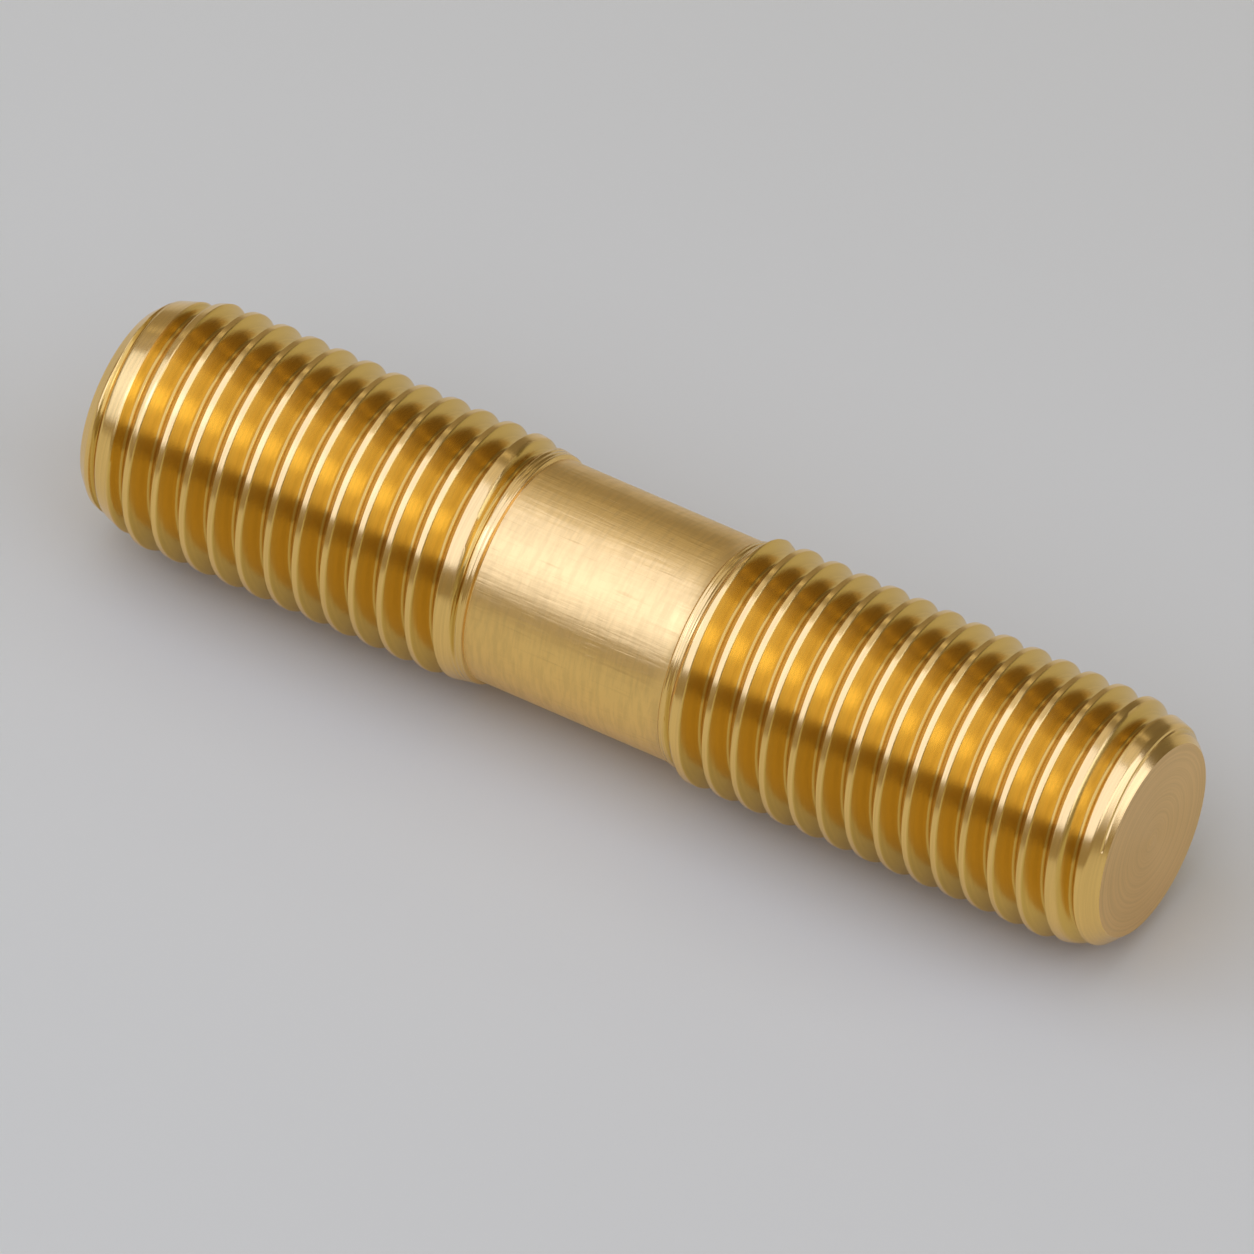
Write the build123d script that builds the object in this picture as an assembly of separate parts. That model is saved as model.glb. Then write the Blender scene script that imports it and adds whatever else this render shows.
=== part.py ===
from build123d import *
from math import atan, cos, degrees, floor, radians, tan
import os

# Double-ended threaded stud turned from one bar of brass: a right-hand M20 x 2.5 thread at each end
# and a plain shank between them. Millimetres, +Z up the axis. The stud stands on its lower end,
# with the origin at the centre of that end's face.

# Overall lengths, from the lower end upwards.
lower_thread_length = 38.0
shank_length = 17.0
upper_thread_length = 35.0

# Thread form: a symmetrical V with a flat crest and a sharp root. With this outside diameter and
# crest, the pitch diameter comes to 18.33 mm, just inside what a standard nut takes.
major_diameter = 19.8
pitch = 2.5
flank_angle = 60.0
crest_flat = 0.4

# Plain shank, turned down by this much on the radius to about the pitch diameter of the thread.
shank_step = 0.85

# Each end is chamfered at 45 degrees, down to a face of this radius, and tapers from the chamfer
# up to the full diameter.
face_radius = 7.85
chamfer_length = 1.1
lead_in_length = 4.4

# Shoulders between the thread's full diameter and the shank.
lower_shoulder_length = 1.2
upper_shoulder_length = 2.4

# Where the tool starts to leave the work, measured from the shank, and how many turns it takes.
lower_withdrawal_length = 2.6
upper_withdrawal_length = 4.0
withdrawal_turns = 1.5

# Height of the first root of each thread above its own end face, where it passes the X axis.
lower_thread_start = 0.585
upper_thread_start = 0.705

# How far the cutting tool reaches outside the work.
tool_overhang = 0.4

# Worked out from the sizes above.
major_radius = major_diameter / 2
shank_radius = major_radius - shank_step
chamfer_radius = face_radius + chamfer_length
flank_slope = tan(radians(flank_angle / 2))
thread_depth = (pitch - crest_flat) / 2 / flank_slope
root_radius = major_radius - thread_depth
mouth_radius = major_radius + tool_overhang
mouth_half = (mouth_radius - root_radius) * flank_slope
total_length = lower_thread_length + shank_length + upper_thread_length


def turned_blank():
    """The bar after turning and before threading: chamfers, tapers, full diameters and shank."""
    shank_bottom = lower_thread_length
    shank_top = lower_thread_length + shank_length
    half_outline = Polyline(
        (0, 0),
        (face_radius, 0),
        (chamfer_radius, chamfer_length),
        (major_radius, lead_in_length),
        (major_radius, shank_bottom - lower_shoulder_length),
        (shank_radius, shank_bottom),
        (shank_radius, shank_top),
        (major_radius, shank_top + upper_shoulder_length),
        (major_radius, total_length - lead_in_length),
        (chamfer_radius, total_length - chamfer_length),
        (face_radius, total_length),
        (0, total_length),
        close=True,
    )
    return revolve(Plane.XZ * make_face(half_outline), Axis.Z)


def tool_section(height):
    """The V tool's outline in the XZ plane, with its tip at the root radius and this height.

    The flanks are straight, but weighted by 1 / radius. A chord laid across a flank swept from
    them stays close to it, so that each turn of flank needs only one strip of triangles.
    """
    tip = Vector(root_radius, 0, height)
    upper = Vector(mouth_radius, 0, height + mouth_half)
    lower = Vector(mouth_radius, 0, height - mouth_half)
    weights = [1, root_radius / mouth_radius]
    upper_flank = Edge.make_bezier(tip, upper, weights=weights)
    lower_flank = Edge.make_bezier(tip, lower, weights=weights)
    return Face(Wire([upper_flank, Edge.make_line(upper, lower), lower_flank]))

def cutting_pass(height, turns):
    """The solid that the tool sweeps at full depth, from the XZ plane up over these turns."""
    path = Helix(pitch, turns * pitch, root_radius, center=(0, 0, height))
    return sweep(tool_section(height), path=path, is_frenet=True)

def lifted_corners(height, lift):
    """Tip, upper and lower corner of the tool as (radius, height), drawn back by this lift."""
    return [
        (root_radius + lift, height),
        (mouth_radius + lift, height + mouth_half),
        (mouth_radius + lift, height - mouth_half),
    ]

def rising_helix(radius, height, turns, added_lift):
    """A helix that starts in the XZ plane and grows by the added lift on its radius."""
    rise = turns * pitch
    cone_angle = degrees(atan(added_lift / rise))
    slant_pitch = pitch / cos(radians(cone_angle))
    return Edge.make_helix(slant_pitch, rise, radius, center=(0, 0, height), angle=cone_angle).edges()[0]

def withdrawal_pass(height, turns, lift, added_lift):
    """The solid that the tool sweeps while it is drawn back, closed by a flat face at each end."""
    corners = lifted_corners(height, lift)
    edges = [rising_helix(radius, level, turns, added_lift) for radius, level in corners]
    walls = [
        Face.make_surface_from_curves(edge, following)
        for edge, following in zip(edges, edges[1:] + edges[:1])
    ]
    last_corners = lifted_corners(height + turns * pitch, lift + added_lift)
    outlines = [
        Wire.make_polygon([Vector(radius, 0, level) for radius, level in ends], close=True)
        for ends in (corners, last_corners)
    ]
    first = Face(outlines[0])
    last = Face(outlines[1].rotate(Axis.Z, 360 * turns))
    return Solid(Shell([first, *walls, last]))

def thread_groove(thread_start, full_length):
    """Tool passes that cut one thread, from outside the end at Z = 0 up to where the tool has left.

    The groove keeps its full depth up to full_length and then gets shallower along the same helix.
    It is cut turn by turn, then in two passes of half the withdrawal each.
    """
    height = thread_start - pitch
    full_turns = (full_length - height) / pitch
    part_turn = full_turns - floor(full_turns)
    passes = []
    for _ in range(floor(full_turns)):
        passes.append(cutting_pass(height, 1))
        height += pitch
    if part_turn > 0:
        passes.append(cutting_pass(height, part_turn))
        height += part_turn * pitch
    turn = part_turn
    half_turns = withdrawal_turns / 2
    half_lift = (thread_depth + tool_overhang / 2) / 2
    for lift in (0, half_lift):
        passes.append(withdrawal_pass(height, half_turns, lift, half_lift).rotate(Axis.Z, 360 * turn))
        height += half_turns * pitch
        turn += half_turns
    return passes

lower_groove = thread_groove(lower_thread_start, lower_thread_length - lower_withdrawal_length)
upper_groove = thread_groove(upper_thread_start, upper_thread_length - upper_withdrawal_length)
turned_over = [cut.rotate(Axis.X, 180).translate((0, 0, total_length)) for cut in upper_groove]

threaded_stud = turned_blank().cut(*lower_groove, *turned_over)

os.makedirs("parts", exist_ok=True)
export_step(threaded_stud, "parts/threaded_stud.step")
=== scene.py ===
"""Looks of a double-ended brass threaded stud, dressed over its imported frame.

The stud stands on the end of its longer thread, with its axis on Z. It is shown as it would look lying on
its crests on a pale table: the table is a plane along the stud's axis, and the camera's upward direction
is the table's.
"""

import logging
from dataclasses import dataclass
from enum import Enum
from math import ceil, cos, pi, radians, sin, tan, tau
from typing import Any, Dict, List, Optional, Sequence, Tuple, Union

import bpy
from mathutils import Matrix, Vector

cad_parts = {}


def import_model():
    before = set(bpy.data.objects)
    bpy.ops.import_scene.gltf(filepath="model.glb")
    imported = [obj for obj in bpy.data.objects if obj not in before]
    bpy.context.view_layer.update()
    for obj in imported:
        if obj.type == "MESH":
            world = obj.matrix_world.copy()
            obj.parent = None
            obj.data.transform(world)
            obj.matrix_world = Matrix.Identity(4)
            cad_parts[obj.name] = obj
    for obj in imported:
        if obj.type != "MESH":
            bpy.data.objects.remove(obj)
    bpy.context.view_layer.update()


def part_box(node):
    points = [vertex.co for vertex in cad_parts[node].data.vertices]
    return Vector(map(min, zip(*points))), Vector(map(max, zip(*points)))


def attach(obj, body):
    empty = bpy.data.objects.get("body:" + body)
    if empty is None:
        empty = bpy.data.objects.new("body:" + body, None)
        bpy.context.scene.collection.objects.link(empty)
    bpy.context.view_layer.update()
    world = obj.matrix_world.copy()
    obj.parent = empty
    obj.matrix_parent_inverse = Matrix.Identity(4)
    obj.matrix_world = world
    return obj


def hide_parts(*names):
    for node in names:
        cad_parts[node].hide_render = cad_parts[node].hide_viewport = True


LOG = logging.getLogger("threaded_stud")
MM = 0.001
NODE_SPACING = 180

Socket = bpy.types.NodeSocket
Tree = bpy.types.NodeTree
Material = bpy.types.Material
Sockets = Sequence[Tuple[str, str]]
Number = Union[Socket, float]
Pair = Tuple[float, float]
Colour = Tuple[float, float, float]


class Surface(Enum):
    """Attributes that the mesh carries for its materials, each named as the surface rule's output."""

    ACROSS = "across_groove"
    CUT = "cut_by_tool"
    LAND = "turned_land"


# ---- Node trees ----


class NodeGraph:
    """Adds nodes to a tree, so that a rule can be written as a formula."""

    def __init__(self, tree: Tree) -> None:
        """Takes the geometry or shader tree to add to."""
        self.tree = tree
        self.column = 0

    def node(self, kind: str, inputs: Optional[Dict[Any, Any]] = None, **settings: Any) -> bpy.types.Node:
        """Adds one node.

        Args:
            kind: The node's type name.
            inputs: Socket or plain value for inputs, by name or number.
            settings: Properties to set on it.

        Returns:
            The new node.
        """
        made = self.tree.nodes.new(kind)
        made.location = (NODE_SPACING * self.column, 0)
        self.column += 1
        for name, value in settings.items():
            setattr(made, name, value)
        for key, value in (inputs or {}).items():
            self.put(made.inputs[key], value)
        return made

    def put(self, socket: Socket, value: Any) -> None:
        """Links a socket into an input, or sets the input to a plain value.

        Args:
            socket: The input.
            value: A socket to link from, or the value itself.
        """
        if isinstance(value, bpy.types.NodeSocket):
            self.tree.links.new(value, socket)
        else:
            socket.default_value = value

    def math(self, operation: str, *values: Number) -> Socket:
        """Returns the result of one of the Math node's operations on values."""
        return self.node("ShaderNodeMath", dict(enumerate(values)), operation=operation).outputs[0]

    def add(self, a: Number, b: Number) -> Socket:
        """Returns a + b."""
        return self.math("ADD", a, b)

    def sub(self, a: Number, b: Number) -> Socket:
        """Returns a - b."""
        return self.math("SUBTRACT", a, b)

    def mul(self, a: Number, b: Number) -> Socket:
        """Returns a * b."""
        return self.math("MULTIPLY", a, b)

    def div(self, a: Number, b: Number) -> Socket:
        """Returns a / b."""
        return self.math("DIVIDE", a, b)

    def ramp(
        self, value: Number, low: Number, high: Number, start: Number = 0.0, end: Number = 1.0
    ) -> Socket:
        """Maps a value that runs from low to high onto start to end, and holds it there.

        Args:
            value: The value to map.
            low: Where the ramp begins.
            high: Where the ramp ends.
            start: Result at and below low.
            end: Result at and above high.

        Returns:
            The mapped value.
        """
        inputs = {0: value, 1: low, 2: high, 3: start, 4: end}
        return self.node("ShaderNodeMapRange", inputs, clamp=True).outputs[0]

    def vector(self, x: Number, y: Number, z: Number) -> Socket:
        """Returns a vector made of three numbers."""
        return self.node("ShaderNodeCombineXYZ", {0: x, 1: y, 2: z}).outputs[0]

    def split(self, vector: Socket) -> Tuple[Socket, Socket, Socket]:
        """Returns the three numbers of a vector."""
        made = self.node("ShaderNodeSeparateXYZ", {0: vector})
        return made.outputs[0], made.outputs[1], made.outputs[2]

    def stretched(self, numbers: Sequence[Socket], factors: Sequence[Number]) -> Socket:
        """Returns a vector of three numbers, each times its own factor."""
        return self.vector(*(self.mul(number, factor) for number, factor in zip(numbers, factors)))

    def round_axis(self, radius: Number, turn: Socket, height: Number) -> Socket:
        """Places a point about the Z axis.

        Args:
            radius: Its distance from the axis.
            turn: Its share of a turn.
            height: Its height.

        Returns:
            The point.
        """
        angle = self.mul(turn, tau)
        x = self.mul(radius, self.math("COSINE", angle))
        y = self.mul(radius, self.math("SINE", angle))
        return self.vector(x, y, height)

    def from_axis(self, x: Socket, y: Socket) -> Socket:
        """Returns a point's distance from the Z axis."""
        return self.math("SQRT", self.add(self.mul(x, x), self.mul(y, y)))

    def noise(self, place: Socket, scale: float, detail: float, roughness: float = 0.5) -> Socket:
        """Adds a noise texture.

        Args:
            place: Where it is read.
            scale: Its scale.
            detail: How many octaves it has.
            roughness: How strong the finer octaves are.

        Returns:
            Its value, around 0.5.
        """
        made = self.node(
            "ShaderNodeTexNoise",
            {"Vector": place, "Scale": scale, "Detail": detail, "Roughness": roughness},
            noise_dimensions="3D",
        )
        return made.outputs[0]

    def attribute(self, surface: Surface) -> Socket:
        """Returns a value that the mesh carries for its materials."""
        return self.node("ShaderNodeAttribute", attribute_name=surface.value).outputs["Fac"]

    def grid(self, columns: Number, rows: Number) -> "Strip":
        """Adds a unit grid.

        Args:
            columns: Faces round the axis.
            rows: Faces along it.

        Returns:
            The grid, which still lies flat.
        """
        points = {"Vertices X": self.add(columns, 1.0), "Vertices Y": self.add(rows, 1.0)}
        made = self.node("GeometryNodeMeshGrid", {"Size X": 1.0, "Size Y": 1.0, **points})
        x, y, _ = self.split(self.node("GeometryNodeInputPosition").outputs[0])
        return Strip(made.outputs["Mesh"], self.add(x, 0.5), self.add(y, 0.5))

    def moved(self, mesh: Socket, position: Socket) -> Socket:
        """Returns a mesh with its points at new positions."""
        return self.node("GeometryNodeSetPosition", {"Geometry": mesh, "Position": position}).outputs[0]

    def blend(self, factor: Socket, first: Any, second: Any) -> Socket:
        """Returns a mix of two colours: the first at a factor of 0, the second at 1."""
        inputs = {"Factor": factor, "A": first, "B": second}
        return self.node("ShaderNodeMix", inputs, data_type="RGBA").outputs["Result"]

    def join(self, *meshes: Socket) -> Socket:
        """Joins meshes.

        Args:
            meshes: The meshes.

        Returns:
            Them as one.
        """
        made = self.node("GeometryNodeJoinGeometry")
        for mesh in meshes:
            self.tree.links.new(mesh, made.inputs[0])
        return made.outputs[0]

    def group(self, tree: Tree, values: Dict[str, Any]) -> bpy.types.Node:
        """Places a node group, with a socket or a value for each named input."""
        kind = "GeometryNodeGroup" if tree.bl_idname == "GeometryNodeTree" else "ShaderNodeGroup"
        return self.node(kind, values, node_tree=tree)


@dataclass(frozen=True)
class Strip:
    """A grid that becomes a strip round the axis, with each point's share of the way round and along."""

    mesh: Socket
    turn: Socket
    share: Socket


class TreeKind(Enum):
    """The two kinds of node group."""

    GEOMETRY = "GeometryNodeTree"
    SHADER = "ShaderNodeTree"


def group_inputs(tree: Tree) -> List[str]:
    """Returns the names of a group's inputs."""
    return [item.name for item in tree.interface.items_tree if item.in_out == "INPUT"]


def floats(*names: str) -> Sockets:
    """Returns each name with the short socket type of a number."""
    return [(name, "Float") for name in names]


class NodeGroup(NodeGraph):
    """A node group with named outputs, and named inputs whose sockets are in given."""

    def __init__(self, name: str, kind: TreeKind, inputs: Sockets, outputs: Sockets) -> None:
        """Starts the group.

        Args:
            name: The group's name.
            kind: Geometry or shader.
            inputs: Name and short socket type of each input.
            outputs: Name and short socket type of each output.
        """
        super().__init__(bpy.data.node_groups.new(name, kind.value))
        for way, sockets in (("INPUT", inputs), ("OUTPUT", outputs)):
            for label, socket in sockets:
                self.tree.interface.new_socket(label, in_out=way, socket_type="NodeSocket" + socket)
        entry = self.node("NodeGroupInput")
        self.given = {label: entry.outputs[label] for label, _ in inputs}

    def shared(self, tree: Tree) -> Dict[str, Any]:
        """Returns those of this group's inputs that another group has too."""
        return {name: self.given[name] for name in group_inputs(tree) if name in self.given}

    def leave(self, **outputs: Socket) -> Tree:
        """Links the outputs, by name, and returns the group's tree."""
        self.node("NodeGroupOutput", outputs)
        return self.tree


def new_object(name: str, data: bpy.types.ID) -> bpy.types.Object:
    """Adds an object to the scene.

    Args:
        name: Its name.
        data: Its mesh, camera or light.

    Returns:
        The object, at the origin.
    """
    made = bpy.data.objects.new(name, data)
    bpy.context.scene.collection.objects.link(made)
    return made


def new_material(name: str) -> Tuple[Material, NodeGraph]:
    """Starts a material.

    Args:
        name: The material's name.

    Returns:
        The material, and the graph to build in.
    """
    material = bpy.data.materials.new(name)
    material.use_nodes = True
    material.node_tree.nodes.clear()
    return material, NodeGraph(material.node_tree)


# ---- The stud's surface ----


@dataclass(frozen=True)
class EndSizes:
    """Sizes of one threaded end, in metres, with heights measured from the end's own face."""

    thread_length: float
    shoulder_length: float
    withdrawal_length: float
    first_root: float
    land_length: float
    land_drop: float
    face_radius: float
    chamfer_length: float
    lead_in_length: float

    def inputs(self, pitch: float) -> Dict[str, float]:
        """Names the end's sizes.

        Args:
            pitch: The thread's pitch.

        Returns:
            Input name to value. Pitches are those that the rows cover, from below the face to the shank.
        """
        return {
            "Thread Length": self.thread_length,
            "Shoulder Length": self.shoulder_length,
            "Full Length": self.thread_length - self.withdrawal_length,
            "First Root": self.first_root,
            "Land Length": self.land_length,
            "Land Drop": self.land_drop,
            "Face Radius": self.face_radius,
            "Chamfer Length": self.chamfer_length,
            "Lead In Length": self.lead_in_length,
            "Pitches": ceil((self.thread_length - self.first_root) / pitch) + 1,
        }


@dataclass
class StudSurface:
    """The stud's skin: threads with worn crests and rounded roots, lead-ins, run-outs and shank.

    The overall sizes come from the frame. The rows are those of the mesh, from a root to the next crest and
    in each plain strip. The edges and corners say how widely one line of the outline blends into the next.
    Angles are in degrees.
    """

    major_radius: float
    length: float
    pitch: float = 2.5 * MM
    crest_flat: float = 0.46 * MM
    flank_angle: float = 60.0
    root_depth: float = 1.50 * MM
    root_rounding: float = 0.24 * MM
    crest_rounding: float = 0.05 * MM
    withdrawal_turns: float = 1.0
    shank_step: float = 0.85 * MM
    plain_chamfer: float = 0.72 * MM
    plain_collar: float = 0.4 * MM
    columns: int = 120
    face_rows: int = 8
    foot_rows: int = 9
    collar_rows: int = 10
    shank_rows: int = 12
    root_rows: int = 4
    flank_rows: int = 4
    edge_rows: int = 3
    crest_rows: int = 2
    root_zone: float = 0.30 * MM
    edge_zone: float = 0.08 * MM
    shoulder_edge: float = 0.06 * MM
    land_corner: float = 0.15 * MM
    land_wall: float = 0.20 * MM
    chamfer_edge: float = 0.08 * MM
    lead_in_edge: float = 0.10 * MM
    ridge_edge: float = 0.02 * MM
    rings_width: float = 1.2 * MM
    rings_fade: float = 0.1 * MM
    weld_distance: float = 0.0015 * MM
    sharp_angle: float = 40.0
    face_reach: float = 0.002 * MM
    lower: EndSizes = EndSizes(
        thread_length=38.0 * MM,
        shoulder_length=1.45 * MM,
        withdrawal_length=1.80 * MM,
        first_root=0.585 * MM,
        land_length=0.90 * MM,
        land_drop=0.15 * MM,
        face_radius=7.85 * MM,
        chamfer_length=1.1 * MM,
        lead_in_length=4.4 * MM,
    )
    upper: EndSizes = EndSizes(
        thread_length=35.0 * MM,
        shoulder_length=3.1 * MM,
        withdrawal_length=2.23 * MM,
        first_root=0.705 * MM,
        land_length=0.3 * MM,
        land_drop=0.30 * MM,
        face_radius=7.55 * MM,
        chamfer_length=0.95 * MM,
        lead_in_length=5.2 * MM,
    )

    @property
    def flank_slope(self) -> float:
        """Axial run of a flank for each unit of depth."""
        return tan(radians(self.flank_angle / 2))

    @property
    def v_depth(self) -> float:
        """Depth at which the two flanks of a groove would meet."""
        return (self.pitch - self.crest_flat) / 2 / self.flank_slope

    @property
    def half_pitch_rows(self) -> int:
        """Rows of the mesh from a root to the next crest."""
        return self.root_rows + self.flank_rows + self.edge_rows + self.crest_rows

    def common_inputs(self) -> Dict[str, float]:
        """Names the sizes that both ends share.

        Returns:
            Input name to value.
        """
        return {
            "Major Radius": self.major_radius,
            "Length": self.length,
            "Pitch": self.pitch,
            "Crest Flat": self.crest_flat,
            "Flank Slope": self.flank_slope,
            "V Depth": self.v_depth,
            "Root Depth": self.root_depth,
            "Root Rounding": self.root_rounding,
            "Crest Rounding": self.crest_rounding,
            "Withdrawal Turns": self.withdrawal_turns,
            "Shank Radius": self.major_radius - self.shank_step,
            "Plain Chamfer": self.plain_chamfer,
            "Plain Collar": self.plain_collar,
            "Columns": self.columns,
            "Rows Per Pitch": 2 * self.half_pitch_rows,
        }

    def groove_group(self) -> Tree:
        """Builds the rule for one groove: its radius at a height, for the turn that it has reached there.

        Returns:
            The group. Its Radius is that of the groove's surface, and Across the distance from its root.
        """
        names = ["Turn", "Height", "First Root", "Pitch", "Full Length", "Withdrawal Turns", "Major Radius"]
        names += ["V Depth", "Root Depth", "Root Rounding", "Flank Slope"]
        graph = NodeGroup("Groove rule", TreeKind.GEOMETRY, floats(*names), floats("Radius", "Across"))
        given = graph.given
        major = given["Major Radius"]
        pitch = given["Pitch"]
        climb = graph.mul(given["Turn"], pitch)
        root = graph.add(graph.sub(given["First Root"], pitch), climb)
        past = graph.div(graph.sub(root, given["Full Length"]), pitch)
        per_turn = graph.div(given["V Depth"], given["Withdrawal Turns"])
        lift = graph.mul(graph.math("MAXIMUM", past, 0.0), per_turn)
        across = graph.math("ABSOLUTE", graph.sub(given["Height"], root))
        v_root = graph.sub(major, given["V Depth"])
        v_radius = graph.add(v_root, graph.div(across, given["Flank Slope"]))
        floor_radius = graph.sub(major, given["Root Depth"])
        rounded = graph.math("SMOOTH_MAX", v_radius, floor_radius, given["Root Rounding"])
        return graph.leave(Radius=graph.add(rounded, lift), Across=across)

    def outline_group(self) -> Tree:
        """Builds the turned outline of one end, before threading, as a radius for each height.

        Returns:
            The group.
        """
        names = ["Height", "Major Radius", "Shank Radius", "Face Radius", "Lead In Length", "Chamfer Length"]
        names += ["Thread Length", "Shoulder Length", "Land Length", "Land Drop"]
        graph = NodeGroup("Turned outline", TreeKind.GEOMETRY, floats(*names), floats("Radius"))
        given = graph.given
        major = given["Major Radius"]
        height = given["Height"]
        chamfer_line = graph.add(given["Face Radius"], height)
        chamfer_top = graph.add(given["Face Radius"], given["Chamfer Length"])
        taper_length = graph.sub(given["Lead In Length"], given["Chamfer Length"])
        taper = graph.div(graph.sub(major, chamfer_top), taper_length)
        taper_line = graph.add(chamfer_top, graph.mul(graph.sub(height, given["Chamfer Length"]), taper))
        shoulder_start = graph.sub(given["Thread Length"], given["Shoulder Length"])
        land_radius = graph.add(given["Shank Radius"], given["Land Drop"])
        fall_length = graph.sub(given["Shoulder Length"], given["Land Length"])
        fall = graph.div(graph.sub(major, land_radius), fall_length)
        shoulder_line = graph.sub(major, graph.mul(graph.sub(height, shoulder_start), fall))
        shoulder = graph.math("SMOOTH_MAX", shoulder_line, land_radius, self.land_corner)
        below_shank = graph.sub(given["Thread Length"], height)
        wall_slope = graph.div(given["Land Drop"], self.land_wall)
        wall_line = graph.add(given["Shank Radius"], graph.mul(below_shank, wall_slope))
        shoulder = graph.math("SMOOTH_MIN", shoulder, wall_line, self.shoulder_edge)
        body = graph.math("SMOOTH_MIN", shoulder, major, self.shoulder_edge)
        nose = graph.math("SMOOTH_MIN", chamfer_line, taper_line, self.chamfer_edge)
        return graph.leave(Radius=graph.math("SMOOTH_MIN", nose, body, self.lead_in_edge))

    def surface_group(self, groove: Tree, outline: Tree) -> Tree:
        """Builds the whole rule for one end: the outline, cut by the grooves below and above each point.

        Args:
            groove: The groove rule.
            outline: The outline rule.

        Returns:
            The group, with the point's radius and the values kept for the materials.
        """
        names = group_inputs(groove)
        names += [name for name in group_inputs(outline) if name not in names]
        names.append("Crest Rounding")
        graph = NodeGroup(
            "Stud surface", TreeKind.GEOMETRY, floats(*names), floats("Radius", "Across", "Cut", "Land")
        )
        given = graph.given
        climbed = graph.div(graph.sub(given["Height"], given["First Root"]), given["Pitch"])
        whole = graph.math("FLOOR", graph.sub(graph.add(climbed, 1.0), given["Turn"]))
        grooves = []
        for step in (0.0, 1.0):
            turn = graph.add(graph.add(whole, step), given["Turn"])
            grooves.append(graph.group(groove, {**graph.shared(groove), "Turn": turn}))
        below, above = grooves
        cut = graph.math("SMOOTH_MIN", below.outputs["Radius"], above.outputs["Radius"], self.ridge_edge)
        turned = graph.group(outline, graph.shared(outline)).outputs[0]
        below_shank = graph.sub(given["Thread Length"], given["Height"])
        rings_end = self.rings_width + self.rings_fade
        return graph.leave(
            Radius=graph.math("SMOOTH_MIN", turned, cut, given["Crest Rounding"]),
            Across=graph.math("MINIMUM", below.outputs["Across"], above.outputs["Across"]),
            Cut=graph.ramp(graph.sub(turned, cut), -self.ridge_edge, 2 * self.ridge_edge),
            Land=graph.ramp(below_shank, self.rings_width, rings_end, 1.0, 0.0),
        )

    def place_strip(
        self, graph: NodeGroup, strip: Strip, height: Number, rule: Tree, inset: Number = 1.0
    ) -> Socket:
        """Moves a flat grid onto the stud's surface and stores what the materials read.

        Args:
            graph: The end's group.
            strip: The grid.
            height: Each point's height above the end's face.
            rule: The surface rule.
            inset: Factor on the radius, for points of the end's face.

        Returns:
            The placed mesh.
        """
        point = graph.group(rule, {**graph.shared(rule), "Turn": strip.turn, "Height": height})
        mesh = strip.mesh
        for attribute in Surface:
            value = point.outputs[attribute.name.title()]
            mesh = graph.node(
                "GeometryNodeStoreNamedAttribute",
                {"Geometry": mesh, "Name": attribute.value, "Value": value},
                data_type="FLOAT",
                domain="POINT",
            ).outputs["Geometry"]
        radius = graph.mul(point.outputs["Radius"], inset)
        return graph.moved(mesh, graph.round_axis(radius, strip.turn, height))

    def spread_rows(self, graph: NodeGroup, share: Socket) -> Socket:
        """Spreads the rows from a root to the next crest, closer together where the outline bends.

        Args:
            graph: The end's group.
            share: Each row's share of the rows from the root to the crest.

        Returns:
            Each row's distance from the root, along the axis.
        """
        given = graph.given
        crest_edge = graph.div(graph.sub(given["Pitch"], given["Crest Flat"]), 2.0)
        flank = graph.sub(crest_edge, self.root_zone + self.edge_zone)
        crest = graph.sub(graph.div(given["Crest Flat"], 2.0), self.edge_zone)
        zones = (
            (self.root_rows, self.root_zone),
            (self.flank_rows, flank),
            (self.edge_rows, 2 * self.edge_zone),
            (self.crest_rows, crest),
        )
        spread: Number = 0.0
        done = 0
        for rows, width in zones:
            start = done / self.half_pitch_rows
            done += rows
            reached = graph.ramp(share, start, done / self.half_pitch_rows, 0.0, width)
            spread = graph.add(spread, reached)
        return spread

    def end_group(self, surface: Tree) -> Tree:
        """Builds one end of the stud, standing on its face: face, chamfer's foot, thread and collar.

        Args:
            surface: The surface rule.

        Returns:
            The group.
        """
        names = {**self.common_inputs(), **self.lower.inputs(self.pitch)}
        graph = NodeGroup("Threaded end", TreeKind.GEOMETRY, floats(*names), [("Mesh", "Geometry")])
        given = graph.given
        columns = given["Columns"]

        strip = graph.grid(columns, self.face_rows)
        face = self.place_strip(graph, strip, 0.0, surface, strip.share)

        strip = graph.grid(columns, self.foot_rows)
        foot = self.place_strip(graph, strip, graph.mul(strip.share, given["Plain Chamfer"]), surface)

        per_pitch = given["Rows Per Pitch"]
        rows = graph.mul(given["Pitches"], per_pitch)
        strip = graph.grid(columns, rows)
        row = graph.math("ROUND", graph.mul(strip.share, rows))
        # A quarter of a row keeps whole pitches from being rounded down.
        whole = graph.math("FLOOR", graph.div(graph.add(row, 0.25), per_pitch))
        within = graph.sub(row, graph.mul(whole, per_pitch))
        half_rows = graph.div(per_pitch, 2.0)
        from_root = graph.math("MINIMUM", within, graph.sub(per_pitch, within))
        spread = self.spread_rows(graph, graph.div(from_root, half_rows))
        past_crest = graph.math("GREATER_THAN", within, half_rows)
        mirrored = graph.mul(past_crest, graph.sub(given["Pitch"], graph.mul(spread, 2.0)))
        in_pitch = graph.add(spread, mirrored)
        first = graph.sub(given["First Root"], given["Pitch"])
        helix = graph.add(first, graph.mul(given["Pitch"], graph.add(whole, strip.turn)))
        height = graph.math("MAXIMUM", graph.add(helix, in_pitch), given["Plain Chamfer"])
        collar_foot = graph.sub(given["Thread Length"], given["Plain Collar"])
        thread = self.place_strip(graph, strip, graph.math("MINIMUM", height, collar_foot), surface)

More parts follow.
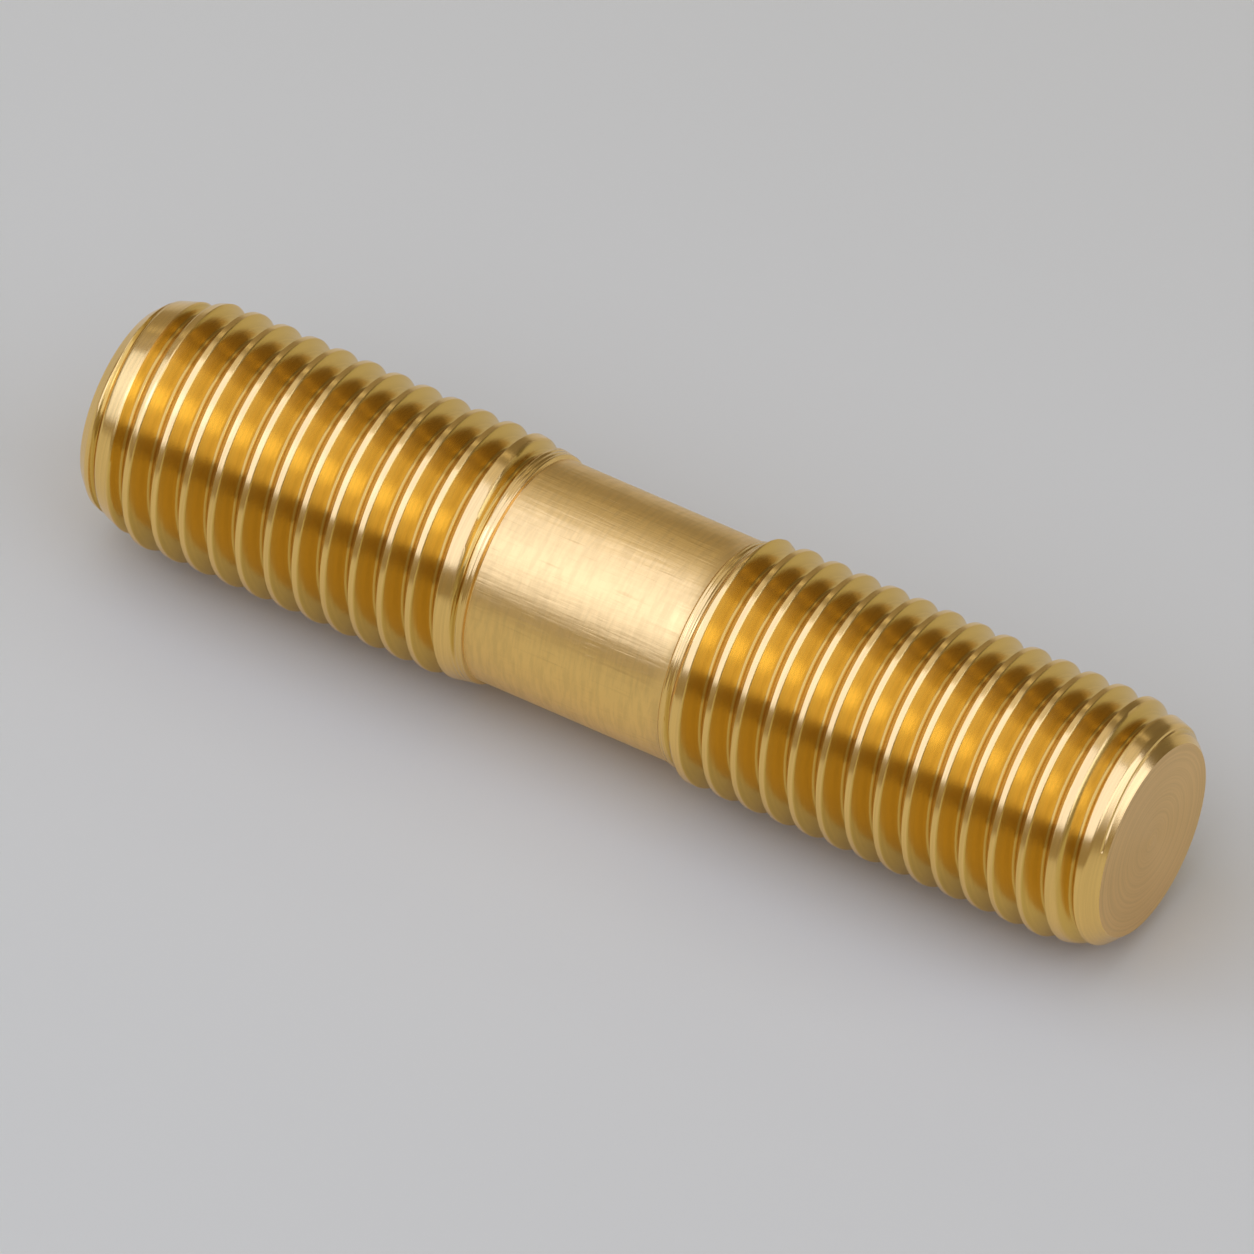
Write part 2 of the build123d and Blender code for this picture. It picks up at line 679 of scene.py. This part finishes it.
        strip = graph.grid(columns, self.collar_rows)
        height = graph.add(collar_foot, graph.mul(strip.share, given["Plain Collar"]))
        collar = self.place_strip(graph, strip, height, surface)

        return graph.leave(Mesh=graph.join(collar, thread, foot, face))

    def shade(self, graph: NodeGroup, mesh: Socket) -> Socket:
        """Welds the strips and shades them smoothly between the sharp edges.

        Args:
            graph: The stud's group.
            mesh: The joined strips.

        Returns:
            The shaded mesh.
        """
        merge = graph.node("GeometryNodeMergeByDistance", {"Geometry": mesh, "Distance": self.weld_distance})
        smooth = graph.node("GeometryNodeSetShadeSmooth", {"Geometry": merge.outputs[0]}, domain="FACE")
        bend = graph.node("GeometryNodeInputMeshEdgeAngle").outputs[0]
        is_sharp = graph.math("GREATER_THAN", bend, radians(self.sharp_angle))
        sharp = graph.node(
            "GeometryNodeSetShadeSmooth",
            {"Geometry": smooth.outputs[0], "Selection": is_sharp, "Shade Smooth": False},
            domain="EDGE",
        )
        return sharp.outputs[0]

    def tree(self, finishes: Dict[str, Material]) -> Tree:
        """Builds the stud: two ends, the upper one turned over, and the shank between them.

        Args:
            finishes: Material for the thread, the shank and the end faces.

        Returns:
            The geometry tree for the modifier.
        """
        end = self.end_group(self.surface_group(self.groove_group(), self.outline_group()))
        common = list(self.common_inputs())
        own = list(self.lower.inputs(self.pitch))
        names = common + [f"{side} {name}" for side in ("Lower", "Upper") for name in own]
        graph = NodeGroup("Threaded stud", TreeKind.GEOMETRY, floats(*names), [("Mesh", "Geometry")])
        given = graph.given
        sides = {}
        for side in ("Lower", "Upper"):
            values = {name: given[name] for name in common}
            values.update({name: given[f"{side} {name}"] for name in own})
            sides[side] = graph.group(end, values).outputs[0]
        above = graph.vector(0.0, 0.0, given["Length"])
        turn_over = graph.node(
            "GeometryNodeTransform",
            {"Geometry": sides["Upper"], "Rotation": (pi, 0.0, 0.0), "Translation": above},
        )

        low = given["Lower Thread Length"]
        high = graph.sub(given["Length"], given["Upper Thread Length"])
        strip = graph.grid(given["Columns"], self.shank_rows)
        height = graph.add(low, graph.mul(strip.share, graph.sub(high, low)))
        shank = graph.moved(strip.mesh, graph.round_axis(given["Shank Radius"], strip.turn, height))
        shaded = self.shade(graph, graph.join(shank, turn_over.outputs[0], sides["Lower"]))

        _, _, z = graph.split(graph.node("GeometryNodeInputPosition").outputs[0])
        on_shank = graph.mul(graph.math("GREATER_THAN", z, low), graph.math("LESS_THAN", z, high))
        from_end = graph.math("MINIMUM", z, graph.sub(given["Length"], z))
        on_face = graph.math("LESS_THAN", from_end, self.face_reach)
        dressed = graph.node("GeometryNodeRealizeInstances", {0: shaded}).outputs[0]
        for name, chosen in (("thread", True), ("shank", on_shank), ("face", on_face)):
            dressed = graph.node(
                "GeometryNodeSetMaterial",
                {"Geometry": dressed, "Selection": chosen, "Material": finishes[name]},
            ).outputs[0]
        return graph.leave(Mesh=dressed)

    def build(self, finishes: Dict[str, Material]) -> bpy.types.Object:
        """Makes the stud's skin as a plain mesh.

        Args:
            finishes: Material for the thread, the shank and the end faces.

        Returns:
            The finished object, at the origin.
        """
        tree = self.tree(finishes)
        carrier = new_object("stud_rule", bpy.data.meshes.new("stud_rule"))
        modifier = carrier.modifiers.new("Threaded stud", "NODES")
        modifier.node_group = tree
        values = dict(self.common_inputs())
        for side, end in (("Lower", self.lower), ("Upper", self.upper)):
            values.update({f"{side} {name}": value for name, value in end.inputs(self.pitch).items()})
        for item in tree.interface.items_tree:
            if item.in_out == "INPUT":
                modifier[item.identifier] = float(values[item.name])
        evaluated = carrier.evaluated_get(bpy.context.evaluated_depsgraph_get())
        mesh = bpy.data.meshes.new_from_object(evaluated)
        mesh.name = "stud_skin"
        carrier.modifiers.remove(modifier)
        bpy.data.objects.remove(carrier)
        skin = new_object("stud_skin", mesh)
        triangles = sum(len(polygon.vertices) - 2 for polygon in mesh.polygons)
        LOG.info("stud_skin: %d triangles", triangles)
        return skin


# ---- Finishes ----


@dataclass(frozen=True)
class ToolMarks:
    """Lines that a cutting tool leaves at one level, in a coarse and a fine layer.

    The levels say how much of the noise counts as a mark.
    """

    finer: float = 3.1
    coarse_share: float = 0.6
    octaves: float = 3.0
    grain: float = 0.6
    levels: Pair = (0.42, 0.62)

    def group(self) -> Tree:
        """Builds the marks.

        Returns:
            The group. Level is the coordinate across the marks and Position the point, both in metres.
        """
        graph = NodeGroup(
            "Tool marks",
            TreeKind.SHADER,
            [("Position", "Vector"), *floats("Level", "Fineness", "Wander")],
            floats("Height", "Mask"),
        )
        given = graph.given
        x, y, _ = graph.split(given["Position"])
        layers = []
        for scale in (1.0, self.finer):
            around = graph.mul(given["Wander"], scale)
            across = graph.mul(given["Fineness"], scale)
            place = graph.stretched((x, y, given["Level"]), (around, around, across))
            layers.append(graph.noise(place, scale=1.0, detail=self.octaves, roughness=self.grain))
        coarse, fine = layers
        height = graph.add(graph.mul(coarse, self.coarse_share), graph.mul(fine, 1.0 - self.coarse_share))
        return graph.leave(Height=height, Mask=graph.ramp(coarse, *self.levels))


@dataclass(frozen=True)
class HandlingMarks:
    """Short scratches along the axis, in patches, and longer faint streaks.

    A stretch is a scale per metre across and along the axis, and levels say how much of a noise counts.
    """

    scratch_stretch: Pair = (5200.0, 260.0)
    scratch_levels: Pair = (0.60, 0.72)
    patch_scale: float = 160.0
    patch_levels: Pair = (0.38, 0.60)
    streak_stretch: Pair = (2300.0, 180.0)

    def group(self) -> Tree:
        """Builds the marks.

        Returns:
            The group, with a mask of the scratches and a height for the streaks.
        """
        graph = NodeGroup(
            "Handling marks",
            TreeKind.SHADER,
            [("Position", "Vector"), ("Amount", "Float")],
            floats("Mask", "Streaks"),
        )
        given = graph.given
        numbers = graph.split(given["Position"])
        across, along = self.scratch_stretch
        place = graph.stretched(numbers, (across, across, along))
        scratches = graph.noise(place, scale=1.0, detail=2.0)
        across, along = self.streak_stretch
        place = graph.stretched(numbers, (across, across, along))
        streaks = graph.noise(place, scale=1.0, detail=3.0)
        patches = graph.noise(given["Position"], self.patch_scale, detail=3.0)
        lines = graph.ramp(scratches, *self.scratch_levels)
        marked = graph.mul(lines, graph.ramp(patches, *self.patch_levels))
        amount = given["Amount"]
        return graph.leave(Mask=graph.mul(marked, amount), Streaks=graph.mul(streaks, amount))


@dataclass(frozen=True)
class TurningRings:
    """Relief that the turning tool leaves: rings on the lands, a line round the chamfer, a centre mark.

    The line starts at an angle round the axis and climbs from its height by its rise over its sweep. Its
    fades are shares of that sweep.
    """

    ring_pitch: float = 0.36 * MM
    line_start: float = -107.0
    line_sweep: float = 120.0
    line_height: float = 0.38 * MM
    line_rise: float = 0.62 * MM
    line_width: float = 0.10 * MM
    line_fade_in: Pair = (0.0, 0.01)
    line_fade_out: Pair = (0.85, 1.1)
    centre: Pair = (0.2 * MM, 0.75 * MM)

    def group(self) -> Tree:
        """Builds the relief.

        Returns:
            The group. Height is in metres.
        """
        graph = NodeGroup(
            "Turning rings",
            TreeKind.SHADER,
            [("Position", "Vector"), *floats("Land", "Ring Depth", "Line Depth", "Centre Depth")],
            floats("Height"),
        )
        given = graph.given
        x, y, z = graph.split(given["Position"])
        wave = graph.math("SINE", graph.div(graph.mul(z, tau), self.ring_pitch))
        rings = graph.mul(graph.mul(wave, given["Ring Depth"]), given["Land"])
        turned = graph.sub(graph.math("ARCTAN2", y, x), radians(self.line_start))
        share = graph.div(turned, radians(self.line_sweep))
        line_height = graph.add(self.line_height, graph.mul(share, self.line_rise))
        off = graph.math("ABSOLUTE", graph.sub(z, line_height))
        line = graph.ramp(off, 0.0, self.line_width, 1.0, 0.0)
        line = graph.mul(line, graph.ramp(share, *self.line_fade_in))
        line = graph.mul(line, graph.ramp(share, *self.line_fade_out, 1.0, 0.0))
        centre = graph.ramp(graph.from_axis(x, y), *self.centre, 1.0, 0.0)
        relief = graph.sub(rings, graph.mul(line, given["Line Depth"]))
        return graph.leave(Height=graph.add(relief, graph.mul(centre, given["Centre Depth"])))


@dataclass(frozen=True)
class WorkMarks:
    """The node groups that all the finishes share."""

    tool: Tree
    handling: Tree
    turning: Tree


@dataclass(frozen=True)
class BrassFinish:
    """Brass with one way of working: how fine its marks are, and how bright and rough it is.

    Fineness and wander are the marks' scales per metre across and along them. The depths are in metres, and
    the shades say how much darker a mark or a stain is. The root's colour is painted shade, darker than the
    grooves' painted shade, and fades out over the root's shade reach.
    """

    name: str
    fineness: float
    roughness: float
    mark_depth: float
    mark_shade: float
    base: Colour = (0.960, 0.630, 0.198)
    # Painted shade in the grooves: the cut surfaces are darker and deeper than the turned brass.
    groove_shade_base: Colour = (0.815, 0.534, 0.120)
    # Painted shade at the grooves' roots, darker still than the flanks.
    root_shade_base: Colour = (0.690, 0.400, 0.070)
    root_shade_reach: Pair = (0.05 * MM, 0.20 * MM)
    stretch: float = 0.4
    roughness_spread: float = 0.08
    roughness_levels: Pair = (0.3, 0.7)
    wander: float = 60.0
    streak_depth: float = 0.0
    ring_depth: float = 0.0
    line_to_ring: float = 3.0
    centre_depth: float = 0.0
    scuffs: float = 0.0
    scuff_roughness: float = 0.10
    scuff_relief: float = 0.5
    stain_scale: float = 90.0
    stain_levels: Pair = (0.35, 0.70)
    stain_shade: float = 0.06
    radial_marks: bool = False
    cut_marks: bool = False

    def level(self, graph: NodeGraph, position: Socket, cut: Socket) -> Socket:
        """Returns the coordinate across the tool's marks.

        Args:
            graph: The graph to build in.
            position: The point.
            cut: Whether the thread's tool has cut it.

        Returns:
            The radius on a faced end and in a groove with its own marks, and else the height.
        """
        x, y, z = graph.split(position)
        radius = graph.from_axis(x, y)
        if self.radial_marks:
            return radius
        if self.cut_marks:
            return graph.add(graph.mul(radius, cut), graph.mul(z, graph.sub(1.0, cut)))
        return z

    def colour(self, graph: NodeGraph, position: Socket, cut: Socket, marked: Socket) -> Socket:
        """Returns the brass's colour, with painted shade in the grooves and at their roots, darker in its
        marks and where it is stained.

        Args:
            graph: The graph to build in.
            position: The point.
            cut: Whether the thread's tool has cut it.
            marked: How much of a mark is there.

        Returns:
            The colour.
        """
        # Painted shade: darkest near a groove's root, fading to the flanks' painted shade over the reach.
        near_root = graph.ramp(graph.attribute(Surface.ACROSS), *self.root_shade_reach, 1.0, 0.0)
        groove = graph.blend(near_root, (*self.groove_shade_base, 1.0), (*self.root_shade_base, 1.0))
        # Painted shade: where the thread's tool cut, in the grooves, the brass takes the darker groove
        # colour.
        brass_with_groove_shade = graph.blend(cut, (*self.base, 1.0), groove)
        stain = graph.ramp(graph.noise(position, self.stain_scale, detail=3.0), *self.stain_levels)
        wear = graph.add(graph.mul(marked, self.mark_shade), graph.mul(stain, self.stain_shade))
        darker = {0: brass_with_groove_shade, "Scale": graph.sub(1.0, wear)}
        return graph.node("ShaderNodeVectorMath", darker, operation="SCALE").outputs[0]

    def material(self, marks: WorkMarks) -> Material:
        """Builds the material.

        Args:
            marks: The shared groups.

        Returns:
            The material.
        """
        material, graph = new_material(self.name)
        position = graph.node("ShaderNodeTexCoord").outputs["Object"]
        cut = graph.attribute(Surface.CUT)
        level = self.level(graph, position, cut)
        inputs = {"Position": position, "Level": level, "Fineness": self.fineness, "Wander": self.wander}
        tool = graph.group(marks.tool, inputs)
        handling = graph.group(marks.handling, {"Position": position, "Amount": self.scuffs})
        turning = graph.group(
            marks.turning,
            {
                "Position": position,
                "Land": graph.attribute(Surface.LAND),
                "Ring Depth": self.ring_depth,
                "Line Depth": self.ring_depth * self.line_to_ring,
                "Centre Depth": self.centre_depth,
            },
        )
        tool_height = tool.outputs["Height"]
        handled = handling.outputs["Mask"]

        half = self.roughness_spread / 2
        rough = graph.ramp(tool_height, *self.roughness_levels, self.roughness - half, self.roughness + half)
        rough = graph.add(rough, graph.mul(handled, self.scuff_roughness))

        height = graph.sub(tool_height, graph.mul(handled, self.scuff_relief))
        height = graph.mul(height, self.mark_depth)
        height = graph.add(height, graph.mul(handling.outputs["Streaks"], self.streak_depth))
        bump = graph.node(
            "ShaderNodeBump",
            {"Strength": 1.0, "Distance": 1.0, "Height": graph.add(height, turning.outputs["Height"])},
        )

        marked = graph.add(tool.outputs["Mask"], handled)
        tangent = graph.node("ShaderNodeTangent", direction_type="RADIAL", axis="Z")
        shader = graph.node(
            "ShaderNodeBsdfPrincipled",
            {
                "Base Color": self.colour(graph, position, cut, marked),
                "Metallic": 1.0,
                "Roughness": rough,
                "Anisotropic": self.stretch,
                "Anisotropic Rotation": 0.25,
                "Tangent": tangent.outputs[0],
                "Normal": bump.outputs[0],
            },
        )
        graph.node("ShaderNodeOutputMaterial", {"Surface": shader.outputs[0]})
        return material


THREAD = BrassFinish(
    "cut_thread",
    fineness=6500.0,
    mark_depth=4.2e-6,
    mark_shade=0.08,
    cut_marks=True,
    roughness=0.22,
    stretch=0.5,
    ring_depth=2.2e-5,
)
SHANK = BrassFinish(
    "turned_shank",
    fineness=2600.0,
    wander=420.0,
    roughness=0.38,
    scuffs=1.0,
    mark_depth=1.2e-5,
    streak_depth=2.9e-5,
    mark_shade=0.08,
)
FACE = BrassFinish(
    "faced_end",
    base=(0.840, 0.560, 0.225),
    radial_marks=True,
    fineness=3600.0,
    wander=25.0,
    roughness=0.42,
    mark_depth=8.0e-6,
    mark_shade=0.09,
    centre_depth=3.0e-5,
    scuffs=0.5,
)


# ---- Studio ----


# Along the stud, towards its lower end.
LOWER_END = Vector((0.0, 0.0, -1.0))


def placed(place: Vector, right: Vector, up: Vector, back: Vector) -> Matrix:
    """Returns the transform of an object from its place and the directions of its X, Y and Z."""
    turn = Matrix((right, up, back)).transposed().to_4x4()
    return Matrix.Translation(place) @ turn


@dataclass(frozen=True)
class Softbox:
    """A rectangular studio light that faces the middle of the stud.

    Swing is its angle round the stud's axis, from the side that the camera sees, and lean its angle towards
    the lower end, both in degrees. Radiance is what a mirror would show of it.
    """

    name: str
    swing: float
    lean: float
    distance: float
    along: float
    across: float
    radiance: float
    tint: Colour


@dataclass
class Studio:
    """Table, camera and lights, laid out round a stud that lies on its crests.

    Angles are in degrees. The room's light falls off between the far side's edges, which are angles from
    its direction.
    """

    middle: Vector
    radius: float
    table_azimuth: float = 40.1
    view_from_axis: float = 68.7
    view_distance: float = 3.5
    lens: float = 1331.3
    aim_right: float = -0.985 * MM
    aim_up: float = -0.58 * MM
    table_colour: Colour = (0.581, 0.525, 0.313)
    softboxes: Tuple[Softbox, ...] = (
        Softbox("key", -16.5, -8.5, 0.50, 0.95, 0.84, 0.89, (1.0, 1.23, 2.6)),
        Softbox("wing", -68.0, -8.5, 0.52, 0.95, 0.22, 0.41, (1.0, 1.10, 1.6)),
        Softbox("core", -13.0, -40.0, 0.42, 0.15, 0.13, 1.22, (1.0, 1.25, 2.4)),
        Softbox("far", -15.0, -61.0, 0.55, 0.19, 0.50, 0.75, (1.0, 1.25, 2.4)),
        Softbox("rim", -93.5, -20.0, 0.50, 0.60, 0.04, 0.60, (1.0, 1.0, 1.0)),
        Softbox("fill", -45.0, 57.0, 0.60, 0.35, 0.70, 1.20, (1.0, 1.2, 2.4)),
    )
    world_colour: Colour = (0.290, 0.252, 0.190)
    far_side_swing: float = -116.0
    far_side_lean: float = 20.0
    far_side_edges: Pair = (40.0, 20.0)
    far_side_light: float = 0.58
    table_glow: float = 0.04
    stage_size: float = 4.0
    floor_drop: float = 0.1 * MM

    @property
    def up(self) -> Vector:
        """The table's normal."""
        azimuth = radians(self.table_azimuth)
        return Vector((sin(azimuth), -cos(azimuth), 0.0))

    @property
    def towards_camera(self) -> Vector:
        """Direction from the stud to the camera."""
        angle = radians(self.view_from_axis)
        return Vector((0.0, -sin(angle), -cos(angle)))

    def direction(self, swing: float, lean: float) -> Vector:
        """Returns a direction seen from the stud.

        Args:
            swing: Degrees round the stud's axis from the side that the camera sees, positive downwards.
            lean: Degrees towards the lower end.

        Returns:
            A unit vector.
        """
        front = Vector((0.0, -1.0, 0.0))
        across = front * cos(radians(swing)) + LOWER_END.cross(front) * sin(radians(swing))
        return across * cos(radians(lean)) + LOWER_END * sin(radians(lean))

    def add_camera(self) -> None:
        """Adds the camera and makes it the scene's."""
        data = bpy.data.cameras.new("camera")
        data.lens = self.lens
        data.sensor_width = 36.0
        data.clip_start = 0.05
        data.clip_end = 20.0
        camera = new_object("camera", data)
        back = self.towards_camera
        up = (self.up - back * self.up.dot(back)).normalized()
        right = up.cross(back)
        aim = self.middle + right * self.aim_right + up * self.aim_up
        camera.matrix_world = placed(aim + back * self.view_distance, right, up, back)
        bpy.context.scene.camera = camera

    def add_light(self, softbox: Softbox) -> None:
        """Adds one softbox.

        Args:
            softbox: Its place, size and strength.
        """
        data = bpy.data.lights.new(softbox.name, "AREA")
        data.shape = "RECTANGLE"
        data.size = softbox.along
        data.size_y = softbox.across
        data.energy = softbox.radiance * pi * softbox.along * softbox.across
        data.color = softbox.tint
        light = new_object(softbox.name, data)
        back = self.direction(softbox.swing, softbox.lean)
        right = (LOWER_END - back * LOWER_END.dot(back)).normalized()
        place = self.middle + back * softbox.distance
        light.matrix_world = placed(place, right, back.cross(right), back)

    def one_sided(self, name: str) -> Material:
        """Builds the table's matt paint, unseen from behind, with a faint glow where the brass mirrors it.

        Args:
            name: The material's name.

        Returns:
            The material.
        """
        material, graph = new_material(name)
        colour = (*self.table_colour, 1.0)
        mirrored = graph.node("ShaderNodeLightPath").outputs["Is Glossy Ray"]
        strength = graph.mul(mirrored, self.table_glow)
        paint = graph.node("ShaderNodeBsdfDiffuse", {"Color": colour})
        glow = graph.node("ShaderNodeEmission", {"Color": colour, "Strength": strength})
        lit = graph.node("ShaderNodeAddShader", {0: paint.outputs[0], 1: glow.outputs[0]})
        clear = graph.node("ShaderNodeBsdfTransparent")
        side = graph.node("ShaderNodeNewGeometry").outputs["Backfacing"]
        mix = graph.node("ShaderNodeMixShader", {0: side, 1: lit.outputs[0], 2: clear.outputs[0]})
        graph.node("ShaderNodeOutputMaterial", {"Surface": mix.outputs[0]})
        return material

    def add_plane(self, name: str, centre: Vector, normal: Vector) -> bpy.types.Object:
        """Adds a square plane of the stage.

        Args:
            name: The object's name.
            centre: Its centre.
            normal: The direction that it faces.

        Returns:
            The plane.
        """
        first = normal.orthogonal().normalized() * self.stage_size / 2
        second = normal.cross(first)
        signs = ((-1, -1), (1, -1), (1, 1), (-1, 1))
        corners = [centre + first * along + second * across for along, across in signs]
        mesh = bpy.data.meshes.new(name)
        mesh.from_pydata([tuple(corner) for corner in corners], [], [(0, 1, 2, 3)])
        mesh.update()
        plane = new_object(name, mesh)
        return plane

    def add_stage(self) -> None:
        """Adds the table that the stud lies on, and a floor for views of it standing."""
        table = self.add_plane("table", self.middle - self.up * self.radius, self.up)
        table.data.materials.append(self.one_sided("pale_table"))
        base = Vector((self.middle.x, self.middle.y, -self.floor_drop))
        floor = self.add_plane("floor", base, Vector((0.0, 0.0, 1.0)))
        floor.data.materials.append(self.one_sided("pale_floor"))
        floor.visible_diffuse = False
        floor.visible_glossy = False
        floor.visible_transmission = False
        floor.visible_shadow = False

    def add_world(self) -> None:
        """Sets the room's even light, which is dimmer on the side that the camera doesn't see."""
        world = bpy.data.worlds.new("room")
        world.use_nodes = True
        world.node_tree.nodes.clear()
        graph = NodeGraph(world.node_tree)
        looked = graph.node("ShaderNodeTexCoord").outputs["Generated"]
        far_side = self.direction(self.far_side_swing, self.far_side_lean)
        facing = graph.node("ShaderNodeVectorMath", {0: looked, 1: far_side}, operation="DOT_PRODUCT")
        edges = [cos(radians(angle)) for angle in self.far_side_edges]
        light = graph.ramp(facing.outputs["Value"], *edges, 1.0, self.far_side_light)
        colour = (*self.world_colour, 1.0)
        background = graph.node("ShaderNodeBackground", {"Color": colour, "Strength": light})
        graph.node("ShaderNodeOutputWorld", {"Surface": background.outputs[0]})
        bpy.context.scene.world = world

    def build(self) -> None:
        """Sets the whole studio."""
        self.add_camera()
        self.add_stage()
        self.add_world()
        for softbox in self.softboxes:
            self.add_light(softbox)
        LOG.info("studio: %d lights", len(self.softboxes))


def main() -> None:
    """Builds the stud and the studio."""
    logging.basicConfig(level=logging.INFO, format="%(name)s %(message)s")
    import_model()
    low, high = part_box("threaded_stud")
    middle = (low + high) / 2
    radius = (high.x - low.x) / 2
    bpy.context.scene.view_settings.view_transform = "Standard"

    marks = WorkMarks(ToolMarks().group(), HandlingMarks().group(), TurningRings().group())
    finishes = {
        "thread": THREAD.material(marks),
        "shank": SHANK.material(marks),
        "face": FACE.material(marks),
    }
    skin = StudSurface(major_radius=radius, length=high.z - low.z).build(finishes)
    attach(skin, "root")
    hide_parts("threaded_stud")

    Studio(middle=middle, radius=radius).build()


if __name__ == "__main__":
    main()
